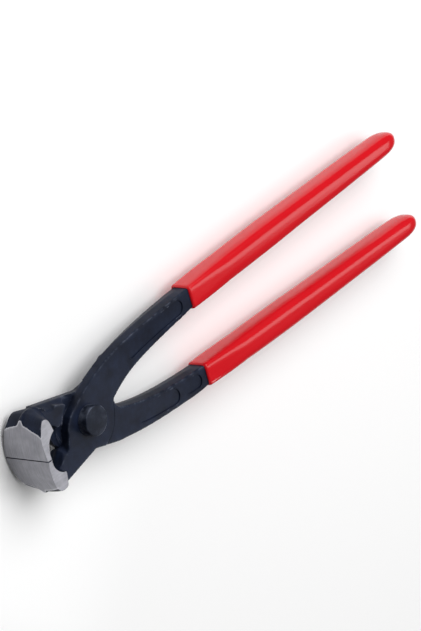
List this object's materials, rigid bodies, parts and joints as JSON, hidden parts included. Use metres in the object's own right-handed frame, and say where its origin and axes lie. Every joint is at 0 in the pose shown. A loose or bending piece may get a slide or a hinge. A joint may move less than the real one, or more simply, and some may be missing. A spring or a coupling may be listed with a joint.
{
  "type": "tile nippers",
  "caption": "End-cutting nippers: crossed forged levers on a riveted lap joint, wide ground jaws and long handles with dipped grips.",
  "frame": {"origin": "middle of the bounding box in X and Y, on the plane of the underside with the tool lying on its side", "axes": "+X from the cutting edges towards the handle ends, +Y in the opening direction towards the front lever's handle, +Z along the pivot axis towards the rivet's tall head"},
  "size_m": [0.249, 0.0472, 0.023],
  "materials": {
    "lever": "drop-forged tool steel, blue-black phosphated, with the cutting heads ground bright",
    "rivet": "turned steel rivet, blue-black phosphated",
    "grip": "glossy red soft vinyl, dipped over the steel arms"
  },
  "bodies": {
    "back_half": {"back_lever": "lever", "back_grip": "grip", "pivot_rivet": "rivet"},
    "front_half": {"front_lever": "lever", "front_grip": "grip"}
  },
  "joints": [
    {"name": "jaw_opening", "type": "hinge", "parent": "back_half", "child": "front_half", "pos_m": [-0.0915, 0, 0.0115], "axis": [0, 0, 1], "range_deg": [0, 35]}
  ]
}
